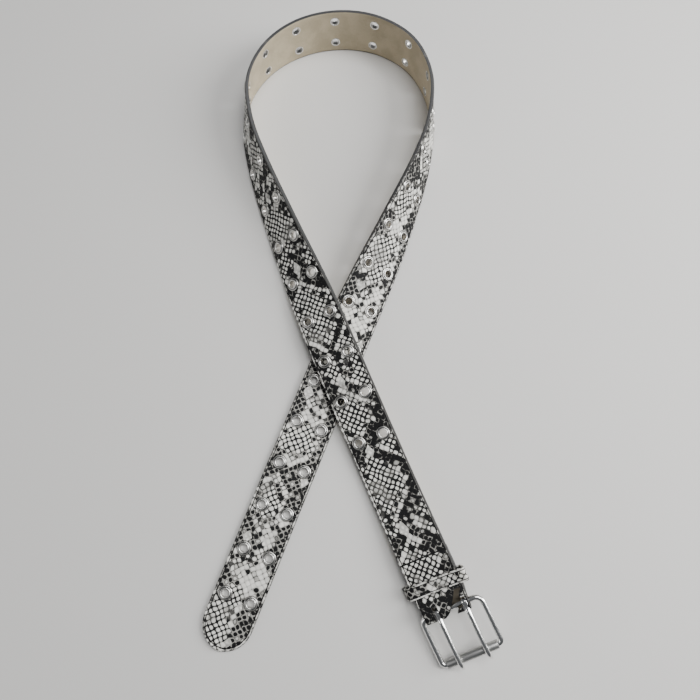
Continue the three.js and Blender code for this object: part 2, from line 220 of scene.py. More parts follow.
def insideDepth(finish, place, areas, unit):
    # how far a place of rise, fall and across lies inside the nearest area, in scales
    # each area is measured from the one before, so few values are held at a time
    nearest, before = None, (0, 0, 0)
    for area in areas:
        ranges = [(area[k] / unit[k // 2], area[k + 1] / unit[k // 2]) for k in (0, 2, 4)]
        middle = [(low + high) / 2 for low, high in ranges]
        half = [(high - low) / 2 for low, high in ranges]
        move = [now - last for now, last in zip(middle, before)]
        before = middle
        place = finish.node("ShaderNodeVectorMath", {"operation": "SUBTRACT"}, {0: place, 1: move})
        away = finish.node("ShaderNodeVectorMath", {"operation": "ABSOLUTE"}, {0: place})
        past = finish.node("ShaderNodeVectorMath", {"operation": "SUBTRACT"}, {0: away, 1: half})
        rise, fall, level = past.parts()
        outside = rise.greater(fall).greater(level)
        nearest = outside if nearest is None else nearest.smaller(outside)
    return nearest * -1


def inDiamonds(finish, place, diamonds):
    nearest, before = None, (0, 0)
    for s, a, length, height in diamonds:
        move = (s - before[0], a - before[1], 0)
        before = (s, a)
        place = finish.node("ShaderNodeVectorMath", {"operation": "SUBTRACT"}, {0: place, 1: move})
        away = finish.node("ShaderNodeVectorMath", {"operation": "ABSOLUTE"}, {0: place})
        share = finish.node("ShaderNodeVectorMath", {"operation": "DOT_PRODUCT"}, {
            0: away, 1: (1 / length, 1 / height, 0)}, 1)
        nearest = share if nearest is None else nearest.smaller(share)
    return 1 - nearest.step(*printSteps["diamond"])


def snakePrint(finish, s, a, seed):
    # rows of rounded scales at 45 degrees to the strap, in large blotches parted by dark bands
    size, steps = printSizes, printSteps
    place = finish.vector(s, a, seed)
    begun, over = [s.step(size[key], size[key] + 0.01) for key in ("repeatFrom", "repeatTo")]
    again = begun - over
    sway = finish.noise(place, size["swayGrain"], 1.0, 0.4, 1).parts()
    wobble = finish.noise(place, size["wobbleGrain"], 0.0, 0.4, 1).parts()
    u, v = [
        start + (sway[k] - 0.5) * size["sway"] + (wobble[k] - 0.5) * size["wobble"]
        for k, start in enumerate((s - again * size["repeat"], a))]
    slant = size["scale"] * sqrt(2)
    x, y = (u + v) / slant, (u - v) / slant
    column, row = x.floor(), y.floor()
    fx, fy = abs(x - column - 0.5), abs(y - row - 0.5)
    cell = finish.vector(column, row, seed)
    luck = finish.node("ShaderNodeTexWhiteNoise", {"noise_dimensions": "3D"}, {0: cell}, 1).parts()
    luckToo = finish.node("ShaderNodeTexWhiteNoise", {"noise_dimensions": "3D"}, {
        0: finish.vector(column, row, seed + 9)}, 1).parts()

    # how far the middle of the scale lies inside its blotch or patch, in scales
    unit = (slant, slant, size["scale"])
    middle = finish.vector(column + 0.5, row + 0.5, (column - row) / sqrt(2))
    jitter = (luck[2] - 0.5) * 0.5
    depth = insideDepth(finish, middle, size["blotches"], unit) + jitter
    patch = (insideDepth(finish, middle, size["patches"], unit) + jitter).step(*steps["inside"])
    cloud = finish.noise(place, 0.30, 3.0, 0.6)
    wide = finish.noise(place, 0.055, 2.0, 0.5)
    inside, pastRim, pastMoat = [
        depth.step(*steps[key]) for key in ("inside", "pastRim", "pastMoat")]
    rim = inside * (1 - pastRim)
    moat = pastRim * (1 - pastMoat) * luckToo[0].step(*steps["moatLuck"])
    band = (1 - inside) * (1 - patch)
    joinedRim = rim * (luckToo[1] * 0.6 + wide).step(*steps["rimLuck"])
    joined = joinedRim.greater(patch * luckToo[1].step(*steps["patchLuck"]))

    # single scales, fuller near the tip and sparser near the buckle
    nearTip = 1 - s.step(*steps["nearTip"])
    nearBuckle = s.step(*steps["nearBuckle"])
    roundness, smallest = 2.8, 0.332
    across = (fx ** roundness + fy ** roundness) ** (1 / roundness)
    reach = smallest + luck[0] * 0.09 + nearTip * 0.02 - nearBuckle * 0.02
    reach = reach + joined * 0.17 + wide.step(*steps["wider"]) * 0.02
    scaleMask = 1 - (across - reach).step(*steps["fullScale"])
    dark = (patch * (1 - rim) * luckToo[2].step(*steps["darkLuck"])).greater(moat)
    lone = band * luckToo[0].step(*steps["loneLuck"]) * (1 - across.step(*steps["loneScale"])) * 0.7
    shade = (1 - (across / reach).step(*steps["shading"]) * 0.30) * (0.74 + luck[1] * 0.26)
    tone = finish.mix(cloud.step(*steps["warm"]) * 0.65, size["pale"], size["warm"])
    fadedPart = wide.step(*steps["fadedPart"]) * (1 - joined)
    faded = fadedPart * (0.25 + cloud.step(*steps["fadedBy"]) * 0.4)
    tone = finish.mix(faded, tone, size["grey"])

    # dark bands show the pale outlines of their scales, broken up
    broken = cloud + luck[1] * 0.25 + nearTip * 0.08 - nearBuckle * 0.06
    ring = across.step(*steps["ring"]) * broken.step(*steps["ringBroken"])
    speck = finish.noise(place, 1.3, 1.0, 0.6).step(*steps["speck"]) * 0.12
    faint = ring.greater(speck) * (band * 0.8).greater(dark) + (1 - band) * faded * 0.3

    diamond = inDiamonds(finish, finish.vector(u, v), size["diamonds"])
    shown = (scaleMask * (1 - band) * (1 - dark)).greater(lone).greater(diamond)
    colour = finish.mix(faint, size["inkAndShadow"], size["web"])
    colour = finish.mix(shown, colour, finish.mix(1 - shade, tone, size["inkAndShadow"]))
    relief = 1 - across.step(*steps["relief"])
    return colour, shown, relief


def printedLeather(name, lines, seed):
    # lines(s, a) gives the pressed dark lines with the painted shadow round each eyelet, the pale
    # rims beside them and the painted border
    finish = Finish(name)
    plan = finish.node("ShaderNodeUVMap", {"uv_map": "strapPlan"}).parts()
    s, a = plan[0] * 100, plan[1] * 100
    colour, shown, relief = snakePrint(finish, s, a, seed)
    line, rim, paint = lines(s, a)
    grain = finish.noise(finish.vector(s, a, seed), 2.6, 3.0, 0.6)
    worn = finish.noise(finish.vector(s, a, seed), 0.16, 2.0, 0.7).step(*printSteps["worn"])
    colour = finish.mix(rim * worn, colour, printSizes["pale"])
    # the pressed lines and the painted shadow round the eyelets take the ink colour
    colour = finish.mix(line, colour, printSizes["inkAndShadow"])
    colour = finish.mix(paint, colour, printSizes["paint"])
    height = relief * 0.5 + grain * 0.35 - line * 1.8
    return finish.surface(
        colour=colour, roughness=0.58 - shown * 0.10 + grain * 0.10,
        normal=finish.bump(height, 0.00025, 0.7), specular=0.18)


def strapLines(s, a):
    # crease inside the edge and round the tip with a pale rim outside it, a line across near the
    # buckle, a dark outline of painted shadow round each eyelet, and the painted border of the
    # raised edge
    size = printSizes
    creaseIn, creaseWide = size["creaseIn"], size["creaseWide"]
    point = (strap["tip"] - s).greater(0) * (strap["width"] / 2 / strap["tip"])
    inFrom = strap["width"] / 2 - (point * point + a * a) ** 0.5
    creaseAndShadow = 1 - abs(inFrom - creaseIn).step(creaseWide * 0.6, creaseWide * 1.1)
    rim = 1 - inFrom.step(creaseIn - 0.9, creaseIn - 0.6)
    rim = rim * inFrom.step(0.5, 0.8) * size["rimStrength"]
    creaseAndShadow = creaseAndShadow.greater(1 - abs(s - (runLength - strap["crossLine"])).step(0.45, 0.8))
    turn = (s - strap["firstPair"]) / strap["pitch"] + 0.5
    away = ((turn - turn.floor() - 0.5) * strap["pitch"]) ** 2 + (abs(a) - strap["rowOffset"]) ** 2
    begun, over = [s.step(size[key], size[key] + 1) for key in ("eyeletShadowsFrom", "eyeletShadowsTo")]
    # painted shadow in a ring round each eyelet, where its flange meets the leather
    outline = (1 - away.step(*size["outline"])) * begun * (1 - over) * size["eyeletShadowStrength"]
    creaseAndShadow = creaseAndShadow.greater(outline)
    raised = a.step(-1, 1)
    paint = raised * s.step(*size["borderFrom"]) * (1 - inFrom.step(*size["borderWide"]))
    return creaseAndShadow, rim * (1 - raised * 0.7), paint


def keeperLines(s, a):
    half, rimIn = keeper["width"] / 2, keeper["rimIn"]
    line = 1 - abs(abs(a) - half + keeper["lineIn"]).step(*keeper["lineWide"])
    return line, abs(a).step(half - rimIn, half - rimIn + 0.2) * keeper["rimStrength"], 0.0


backingLook = {
    "tan": (0.48, 0.41, 0.285), "brown": (0.38, 0.32, 0.215), "fibre": (0.56, 0.49, 0.36),
    # the dark colour after the fleck is painted shade inside the fold, set in over the given length
    # at the given strength
    "fleck": (0.33, 0.27, 0.18), "stainAndShade": (0.05, 0.042, 0.03),
    "foldShadeOver": 14, "foldShadeStrength": 0.88,
}


def liningFinish():
    # tan backing, with painted shade darkening it inside the fold
    finish, look = Finish("tan_backing"), backingLook
    plan = finish.node("ShaderNodeUVMap", {"uv_map": "strapPlan"}).parts()
    s, a = plan[0] * 100, plan[1] * 100
    place = finish.vector(s, a, 3)
    cloud = finish.noise(place, 0.05, 3.0, 0.6)
    fibre = finish.noise(finish.vector(s * 0.7, a * 1.6, 2), 1.9, 4.0, 0.7)
    fleck = finish.noise(place, 0.9, 2.0, 0.5).step(0.60, 0.72)
    colour = finish.mix(cloud.step(0.35, 0.65), look["tan"], look["brown"])
    colour = finish.mix(fibre.step(0.35, 0.8) * 0.5, colour, look["fibre"])
    colour = finish.mix(fleck * 0.35, colour, look["fleck"])
    # painted shade: the backing darkens inside the fold from where the fold starts
    foldShade = s.step(foldStart, foldStart + look["foldShadeOver"]) * look["foldShadeStrength"]
    colour = finish.mix(foldShade, colour, look["stainAndShade"])
    return finish.surface(colour=colour, roughness=0.66 + fibre * 0.14,
                          normal=finish.bump(fibre, 0.00018, 0.6), sheen=0.12)


def edgeFinish():
    finish = Finish("edge_paint")
    place = finish.node("ShaderNodeTexCoord", {}, {}, 3)
    streak = finish.noise(place, 160.0, 4.0, 0.6)
    wear = finish.noise(place, 45.0, 3.0, 0.7).step(0.55, 0.75)
    colour = finish.mix(wear * 0.6, (0.045, 0.045, 0.046), (0.13, 0.125, 0.115))
    return finish.surface(colour=colour, roughness=0.42 + streak * 0.2,
                          normal=finish.bump(streak, 0.00016, 0.6))


def metalFinish(name, colour, stainAndShade, roughness, spread, scale, depth):
    finish = Finish(name)
    place = finish.node("ShaderNodeTexCoord", {}, {}, 3)
    cloud = finish.noise(place, scale, 4.0, 0.65)
    hair = finish.noise(place, scale * 9, 3.0, 0.6)
    # for the metal the darker colour is its own stain, in clouds
    tone = finish.mix(cloud.step(0.45, 0.8) * 0.5, colour, stainAndShade)
    rough = roughness + cloud * spread + hair.step(0.6, 0.8) * spread
    return finish.surface(colour=tone, roughness=rough, metallic=1.0,
                          normal=finish.bump(cloud + hair * 0.3, depth, 0.35))


# the strap's lay
strap = {
    "width": 40, "thickness": 3.2, "tip": 22,
    "pitch": 36, "firstPair": 40, "pairs": 29, "rowOffset": 10.8,
    "hole": 4.0, "crossLine": 41.6, "step": 2.0, "foldStep": 0.9, "facingFrom": 0.2,
    "shift": (-1.7510, -113.6298, 0.1327),
    # plan position of the middle, how far the left edge is turned up, height of the low edge
    "stations": [
        (-102, -145.6, 0, 0), (-60.2, -40.5, 0, 0), (-20.4, 57.6, 2.4, 0), (6.8, 122.4, 19, 0),
        (36.8, 187.4, 46, 0), (63.4, 253.6, 70, 0), (71.6, 290, 80, 0), (70.2, 325.6, 88, 0),
        (54.2, 357.6, 94, 0), (23.9, 377.2, 97, 0), (-11.2, 382, 98, 0), (-45.8, 373.6, 96, 0),
        (-74, 352.8, 90, 0), (-90.2, 322, 82, 0), (-90.4, 287.4, 74, 0), (-81.4, 252, 65, 0),
        (-54.6, 183.4, 46, 0.2), (-26, 116.2, 23, 6.8), (2, 49.8, 14, 6.2), (30.8, -16.6, 12, 2.2),
        (54.7, -71.3, 12, 6.1), (73.5, -114.3, 12, 6.4)],
}
fold = {
    "radius": 4.95, "thin": 2.1, "narrow": 18.2, "ply": 1.75, "tail": -43, "from": -30,
    "prongs": (-7.8, 14.8), "slotWide": 4.4, "slotAlong": (-6, 9), "middle": 0.5, "reach": 12,
    # slanted opening between the prongs as across, along: wide in the upper ply and narrow in front
    "upperOpening": [
        (11.8, -12.4), (17.6, -12.4), (13.4, -7.2), (13, 1.2), (10.2, 2.1), (6.7, 5.5), (5.5, 9),
        (-3, 9), (-2.6, 5), (-0.7, 4), (2.3, 1.6), (5.5, -2.6), (9.1, -7.7)],
    "frontOpening": [
        (7.6, -0.4), (8.4, 3.6), (6.7, 5.5), (5.5, 9), (-3, 9), (-2.6, 5), (-0.7, 4), (2.3, 1.6),
        (4, -0.4)],
}


def spanCubics(points, even):
    # smooth curve through points: one cubic a span and a coordinate
    first = [2 * p - q for p, q in zip(points[0], points[1])]
    last = [2 * p - q for p, q in zip(points[-1], points[-2])]
    run = [first, *points, last]
    spans = []
    for i in range(len(points) - 1):
        four = run[i:i + 4]
        gaps = [1, 1, 1] if even else [
            sum((q - p) ** 2 for p, q in zip(four[k], four[k + 1])) ** 0.25 for k in range(3)]
        span = []
        for x0, x1, x2, x3 in zip(*four):
            middle = (x2 - x1) / gaps[1]
            start = (x1 - x0) / gaps[0] - (x2 - x0) / (gaps[0] + gaps[1]) + middle
            stop = middle - (x3 - x1) / (gaps[1] + gaps[2]) + (x3 - x2) / gaps[2]
            start, stop = start * gaps[1], stop * gaps[1]
            span.append((x1, start, 3 * (x2 - x1) - 2 * start - stop, 2 * (x1 - x2) + start + stop))
        spans.append(span)
    return spans


def alongSpans(spans, t):
    place = t * len(spans)
    i = min(int(place), len(spans) - 1)
    w = place - i
    return [c[0] + w * (c[1] + w * (c[2] + w * c[3])) for c in spans[i]]


def lengthTable(spans, divisions):
    table, before = [0.0], alongSpans(spans, 0)
    for i in range(1, divisions + 1):
        now = alongSpans(spans, i / divisions)
        table.append(table[-1] + sqrt(sum((p - q) ** 2 for p, q in zip(now, before))))
        before = now
    return table


def shareAt(table, distance):
    low, high = 0, len(table) - 1
    while high - low > 1:
        middle = (low + high) // 2
        low, high = (middle, high) if table[middle] <= distance else (low, middle)
    return (low + (distance - table[low]) / (table[high] - table[low])) / (len(table) - 1)


planSpans = spanCubics([p[:2] for p in strap["stations"]], False)
turnSpans = spanCubics([(radians(p[2]), p[3]) for p in strap["stations"]], True)
planTable = lengthTable(planSpans, 1500)
runLength = planTable[-1]


@lru_cache(maxsize=None)
def centreAt(distance):
    t = shareAt(planTable, min(max(distance, 0), runLength))
    x, y = alongSpans(planSpans, t)
    lean, lift = (max(value, 0) for value in alongSpans(turnSpans, t))
    z = strap["width"] / 2 * sin(lean) + strap["thickness"] / 2 * abs(cos(lean)) + lift
    return Vector((x, y, z)), lean


@lru_cache(maxsize=None)
def stationAt(distance):
    point, lean = centreAt(distance)
    along = (centreAt(distance + 1)[0] - centreAt(distance - 1)[0]).normalized()
    level = Vector((0, 0, 1)).cross(along).normalized()
    rise = along.cross(level)
    across = level * cos(lean) + rise * sin(lean)
    return point, along, across, along.cross(across)


def seatAt(distance, offset):
    # the leather beside the strap's middle, where the twist tilts it along its length
    def beside(d):
        point, _, across, _ = stationAt(d)
        return point + across * offset
    along = (beside(distance + 4) - beside(distance - 4)).normalized()
    normal = along.cross(stationAt(distance)[2]).normalized()
    return axesAt(along, normal.cross(along), normal, beside(distance))


def axesAt(x, y, z, origin):
    return Matrix.Translation(origin) @ Matrix((x, y, z)).transposed().to_4x4()


_, endAlong, endAcross, endNormal = stationAt(runLength - 2)
endOrigin = centreAt(runLength)[0] - endNormal * fold["ply"]
toRow = Matrix.Scale(0.001, 4) @ Matrix.Translation(strap["shift"])  # millimetres to the row frame
endMatrix = toRow @ axesAt(endAlong, endAcross, endNormal, endOrigin)


def foldPoints():
    # middle of the leather round the rear bar: along, height, thickness, half width
    full = (strap["thickness"], strap["width"] / 2)
    upper = [(fold["from"], fold["ply"], *full), (-20, fold["ply"], *full), (-12.6, 1.8, *full),
             (-8.2, 2.9, 2.5, 19.4), (-4.2, 4.35, fold["thin"], 18.6)]
    bends = 8
    angles = [i * pi / bends for i in range(bends + 1)]
    bend = [(fold["radius"] * sin(angle), fold["radius"] * cos(angle), fold["thin"], fold["narrow"])
            for angle in angles]
    lower = [(along, -height, thick, half) for along, height, thick, half in upper[::-1]]
    return [*upper, *bend, *lower, (fold["tail"], -fold["ply"], *full)]


foldSpans = spanCubics([p[:2] for p in foldPoints()], False)
foldSizes = [p[2:] for p in foldPoints()]
foldTable = lengthTable(foldSpans, 900)
foldStart = runLength + fold["from"]
strapEnd = foldStart + foldTable[-1]


def foldSizeAt(s):
    # thickness and half width of the leather in the fold
    place = shareAt(foldTable, min(max(s - foldStart, 0), foldTable[-1])) * (len(foldSizes) - 1)
    i = min(int(place), len(foldSizes) - 2)
    return [p + (q - p) * (place - i) for p, q in zip(foldSizes[i], foldSizes[i + 1])]


@lru_cache(maxsize=None)
def sectionAt(s):
    # centre, along, across, outward and thickness of the leather
    if s <= foldStart:
        return (*stationAt(s), strap["thickness"])
    t = shareAt(foldTable, min(s - foldStart, foldTable[-1]))
    near = [alongSpans(foldSpans, min(max(t + d, 0), 1)) for d in (-0.002, 0.002)]
    travel = (Vector(near[1]) - Vector(near[0])).normalized()
    x, z = alongSpans(foldSpans, t)
    centre = endOrigin + endAlong * x + endNormal * z
    along = endAlong * travel.x + endNormal * travel.y
    return centre, along, endAcross, endNormal * travel.x - endAlong * travel.y, foldSizeAt(s)[0]


def laid(s, a, h):
    # a point of the flat strap, laid, in metres
    centre, _, across, outward, thick = sectionAt(s)
    return toRow @ (centre + across * a + outward * (h * thick / strap["thickness"]))


def halfWidthAt(s):
    if s > foldStart:
        return foldSizeAt(s)[1]
    left = 1 - max(s, 0.06) / strap["tip"]
    return strap["width"] / 2 * (sqrt(1 - left * left) if left > 0 else 1)


def pairPlace(s):
    number = min(max(round((s - strap["firstPair"]) / strap["pitch"]), 0), strap["pairs"] - 1)
    return strap["firstPair"] + number * strap["pitch"]


# mesh helpers
def addPiece(mesh, name, material, body, nodes=(), sharp=40):
    # the bmesh becomes a smooth shaded piece that rides on its body
    for face in mesh.faces:
        face.smooth = True
    for edge in mesh.edges:
        if len(edge.link_faces) == 2 and edge.calc_face_angle(0) > radians(sharp):
            edge.smooth = False
    data = bpy.data.meshes.new(name)
    mesh.to_mesh(data)
    mesh.free()
    piece = bpy.data.objects.new(name, data)
    bpy.context.scene.collection.objects.link(piece)
    data.materials.append(material)
    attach(piece, body)
    if nodes:
        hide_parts(*nodes)
    return piece


def vertsOf(made):
    return [e for e in made if isinstance(e, bmesh.types.BMVert)]


def sweep(mesh, profile, places, closed=False):
    # carries a closed profile through a row of matrices
    ring = bmesh.ops.create_circle(mesh, segments=len(profile), radius=1)["verts"]
    for vert, (x, y) in zip(ring, profile):
        vert.co = places[0] @ Vector((x, y, 0))
    firstEdges = list({edge for vert in ring for edge in vert.link_edges})
    edges = firstEdges
    for before, after in zip(places, places[1:]):
        made = bmesh.ops.extrude_edge_only(mesh, edges=edges)["geom"]
        edges = [e for e in made if isinstance(e, bmesh.types.BMEdge)]
        bmesh.ops.transform(mesh, matrix=after @ before.inverted(), verts=vertsOf(made))
    if closed:
        bmesh.ops.bridge_loops(mesh, edges=[*edges, *firstEdges])
    else:
        for loop in (firstEdges, edges):
            bmesh.ops.contextual_create(mesh, geom=loop)


def turned(mesh, profile, steps):
    # a closed profile of radius and height spun about the Z axis
    verts = [mesh.verts.new((r, 0, z)) for r, z in profile]
    edges = [mesh.edges.new(pair) for pair in zip(verts, [*verts[1:], verts[0]])]
    bmesh.ops.spin(mesh, geom=[*verts, *edges], cent=(0, 0, 0), axis=(0, 0, 1), dvec=(0, 0, 0),
                   angle=tau, steps=steps, use_merge=True, use_duplicate=False)
    bmesh.ops.remove_doubles(mesh, verts=mesh.verts, dist=1e-7)
    bmesh.ops.recalc_face_normals(mesh, faces=mesh.faces)


def circlePoints(sides, radius=1.0):
    return [(radius * cos(tau * i / sides), radius * sin(tau * i / sides)) for i in range(sides)]


def smoothLine(points, count):
    spans = spanCubics(points, False)
    table = lengthTable(spans, 600)
    return [alongSpans(spans, shareAt(table, table[-1] * i / (count - 1))) for i in range(count)]


# strap: facing, backing, edge
fineFrom = foldStart - 12  # the mesh is finer from here on


def linesAlong():
    # places of the mesh's cross lines, close together at the round tip and in the fold
    lines = [0, 0.25, 0.6, 1.1, 1.8, 2.7, 3.8, 5, 6.4, 8, 9.8, 11.8, 13.9, 16]
    for stop, step in ((fineFrom, strap["step"]), (strapEnd, strap["foldStep"])):
        start = lines[-1]
        steps = round((stop - start) / step)
        lines += [start + (stop - start) * i / steps for i in range(1, steps + 1)]
    return lines


def strapLayer(low, high, edgeInset):
    # one layer of the strap, cut out flat with its holes, then given its thickness
    along = linesAlong()
    even, cells = 17.4, 12  # evenly spaced up to here, closer beside the edge
    half = [*(even * i / cells for i in range(cells)), even, 18.3, 19.0, 19.5, strap["width"] / 2]
    across = [-a for a in half[:0:-1]] + half
    mesh = bmesh.new()
    bmesh.ops.create_grid(mesh, x_segments=len(along) - 1, y_segments=len(across) - 1, size=0.5)
    for vert in mesh.verts:
        i = round((vert.co.x + 0.5) * (len(along) - 1))
        j = round((vert.co.y + 0.5) * (len(across) - 1))
        vert.co = (along[i], across[j], 0)

    def fromHole(co):
        return hypot(co.x - pairPlace(co.x), abs(co.y) - strap["rowOffset"])
    inside = [f for f in mesh.faces if fromHole(f.calc_center_median()) < strap["hole"]]
    bmesh.ops.delete(mesh, geom=inside, context="FACES")
    for vert in mesh.verts:  # the rims of the holes become round
        s, a = vert.co.xy
        away = fromHole(vert.co)
        onOutline = abs(a) >= even or not 20 < s < strapEnd - 3
        if vert.is_boundary and away < 6 and not onOutline:
            middle = Vector((pairPlace(s), strap["rowOffset"] * (1 if a > 0 else -1), 0))
            vert.co = middle + (vert.co - middle) * (strap["hole"] / away)
    for vert in mesh.verts:
        vert.co.y *= (halfWidthAt(vert.co.x) - edgeInset) / (strap["width"] / 2)
    bmesh.ops.solidify(mesh, geom=mesh.faces, thickness=1)
    for vert in mesh.verts:
        vert.co.z = high if abs(vert.co.z) < 0.5 else low
    bmesh.ops.recalc_face_normals(mesh, faces=mesh.faces)
    return mesh


def packMaps(mesh, rows, length, outward):
    # the flat plan in decimetres, and a packed map whose rows hold the side that shows;
    # outward is 1 for the printed side and -1 for the backing
    plan = mesh.loops.layers.uv.new("strapPlan")
    packed = mesh.loops.layers.uv.new("OFBake")
    rowLength, margin, shownHigh = length / rows, 0.004, 0.94
    for face in mesh.faces:
        middle = face.calc_center_median()
        shown = face.normal.z * outward > 0.5
        row = min(max(int(middle.x / rowLength), 0), rows - 1)
        for loop in face.loops:
            s, a, h = loop.vert.co
            loop[plan].uv = (s / 100, a / 100)
            u = margin + (1 - 2 * margin) * (s - row * rowLength) / rowLength
            if shown:
                v = (row + 0.5 + a / strap["width"] * 0.93) / rows * shownHigh
            else:  # hidden side and rims share a thin strip
                share = a / 41 if abs(face.normal.z) > 0.5 else h / 4
                v = 0.945 + 0.05 * (row + 0.5 + share) / rows
            loop[packed].uv = (u, v)


def layStrap(mesh, outer):
    # carries the flat layer to its place; its outer side rounds over at the rims
    inset, reach, drop = 0.15, 1.3, 0.34
    for vert in mesh.verts:
        s, a, h = vert.co
        rim = halfWidthAt(s) - abs(a)
        if abs(h) > 1 and rim < reach:
            h -= outer * drop * (1 - max(rim - inset, 0) / (reach - inset)) ** 2
        vert.co = laid(s, a, h)


def foldCuts():
    # slots for the prongs and the slanted opening between them, as outline and lowest height
    near, far = fold["slotAlong"]
    cuts = [(fold["upperOpening"], fold["middle"]), (fold["frontOpening"], -fold["reach"])]
    for at in fold["prongs"]:
        left, right = at - fold["slotWide"] / 2, at + fold["slotWide"] / 2
        cuts.append(([(left, near), (right, near), (right, far), (left, far)], -fold["reach"]))
    return cuts


def foldCutter(outline, low):
    # upright block from an outline of across, along in the buckle end's frame
    mesh = bmesh.new()
    face = mesh.faces.new([mesh.verts.new((along, across, low)) for across, along in outline])
    made = bmesh.ops.extrude_face_region(mesh, geom=[face])["geom"]
    bmesh.ops.translate(mesh, vec=(0, 0, fold["reach"] - low), verts=vertsOf(made))
    bmesh.ops.recalc_face_normals(mesh, faces=mesh.faces)
    bmesh.ops.transform(mesh, matrix=endMatrix, verts=mesh.verts)
    data = bpy.data.meshes.new("fold_cutter")
    mesh.to_mesh(data)
    mesh.free()
    data.materials.append(edgePaint)
    return bpy.data.objects.new("fold_cutter", data)


def cutFold(piece):
    for outline, low in foldCuts():
        cutter = foldCutter(outline, low)
        bpy.context.scene.collection.objects.link(cutter)
        cut = piece.modifiers.new("cut", "BOOLEAN")
        cut.operation, cut.solver, cut.object = "DIFFERENCE", "EXACT", cutter
        cut.material_mode = "TRANSFER"
        bpy.context.view_layer.update()
        evaluated = piece.evaluated_get(bpy.context.evaluated_depsgraph_get())
        made = bpy.data.meshes.new_from_object(evaluated)
        piece.modifiers.clear()
        piece.data = made
        bpy.data.objects.remove(cutter)


eyeletNodes = sorted(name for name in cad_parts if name.startswith("eyelet_"))
edgePaint = edgeFinish()
printFinish = printedLeather("snake_print", strapLines, 0.0)
backing = liningFinish()

edgeInset, mapRows, halfThick = 0.12, 6, strap["thickness"] / 2
facingMesh = strapLayer(strap["facingFrom"], halfThick, edgeInset)
packMaps(facingMesh, mapRows, strapEnd, 1)
layStrap(facingMesh, 1)
facing = addPiece(facingMesh, "strap_facing", printFinish, "strap", ["strap"])
cutFold(facing)

liningMesh = strapLayer(-halfThick, strap["facingFrom"] - 0.02, edgeInset)
packMaps(liningMesh, mapRows, strapEnd, -1)
layStrap(liningMesh, -1)
lining = addPiece(liningMesh, "strap_lining", backing, "strap")
cutFold(lining)
print("strap layers laid")


def edgeBand():
    # painted edge, carried along both sides and round the tip; every second line will do
    half, tip, tipSteps = strap["width"] / 2, strap["tip"], 36
    along = [s for s in linesAlong() if s > tip]
    kept = [s for i, s in enumerate(along) if s > fineFrom or i % 2 == 0]
    # place along and across, and the edge's outward direction in the flat
    outline = [(s, halfWidthAt(s), 0, 1) for s in reversed(kept)]
    for i in range(tipSteps + 1):
        angle = pi * i / tipSteps
        n = Vector((-sin(angle) / tip, cos(angle) / half)).normalized()
        outline.append((tip * (1 - sin(angle)), half * cos(angle), n.x, n.y))
    outline += [(s, -halfWidthAt(s), 0, -1) for s in kept]
    places = []
    for s, a, ns, na in outline:
        _, along, across, outward, thick = sectionAt(s)
        side = (along * ns + across * na) * 0.001
        up = outward * (thick / strap["thickness"] * 0.001)
        places.append(axesAt(side, up, side.cross(up).normalized(), laid(s, a, 0)))
    # out from the edge and up from the middle
    profile = [(-0.5, -1.3), (-0.1, -1.42), (0.0, -0.9), (0.03, 0), (0.0, 0.75), (-0.1, 1.2),
               (-0.5, 1.15)]
    mesh = bmesh.new()
    sweep(mesh, profile, places)
    bmesh.ops.recalc_face_normals(mesh, faces=mesh.faces)
    return addPiece(mesh, "strap_edge", edgePaint, "strap")


band = edgeBand()
cutFold(band)
print("edge band made")


# eyelets
eyelet = {
    # the groove value is the radius where shade is painted between the rims
    "steps": 36, "grooveShade": 4.38,
    # radius and height above the middle of the leather
    "profile": [
        (3.08, 1.4), (3.1, 2.2), (3.25, 2.5), (3.55, 2.66), (3.85, 2.6), (4.1, 2.36), (4.25, 2.06),
        (4.4, 2.0), (4.55, 2.1), (4.8, 2.16), (5.1, 2.08), (5.38, 1.85), (5.5, 1.62), (3.75, 1.6),
        (3.7, 0), (3.7, -1.55), (4.15, -1.6), (4.2, -1.68), (4.0, -1.76), (3.6, -1.76),
        (3.25, -1.7), (3.1, -1.5), (3.06, -0.4)],
}


def eyeletFinish():
    # bright rolled rims with dull clouds, the outer flange painted darker as shade, parted by
    # painted shade in the groove, and the barrel painted darker as shade in the hole
    finish = Finish("eyelet_steel")
    plan = finish.node("ShaderNodeUVMap", {"uv_map": "eyeletPlan"}).parts()
    radius, height = plan[0] * 10, plan[1] * 10
    # painted shade in the groove between the rims
    grooveShade = 1 - abs(radius - eyelet["grooveShade"]).step(0.18, 0.5)
    # painted shade down the inside of the barrel
    barrelShade = (1 - radius.step(3.3, 3.5)) * (1 - height.step(1.5, 2.5))
    place = finish.node("ShaderNodeTexCoord", {}, {}, 3)
    cloud = finish.noise(place, 260.0, 3.0, 0.6)
    # dull clouds of the steel, and the outer flange painted darker as shade
    dullAndShade = (cloud.step(0.45, 0.8) * 0.4).greater(radius.step(4.3, 4.6) * 0.6)
    bright = finish.mix(dullAndShade, (0.86, 0.85, 0.82), (0.50, 0.49, 0.46))
    # the groove and the barrel are painted near black as shade
    colour = finish.mix((grooveShade * 0.85).greater(barrelShade * 0.4), bright, (0.03, 0.029, 0.027))
    return finish.surface(colour=colour, roughness=0.27 + cloud * 0.12, metallic=1.0,
                          normal=finish.bump(cloud, 0.00001, 0.3))


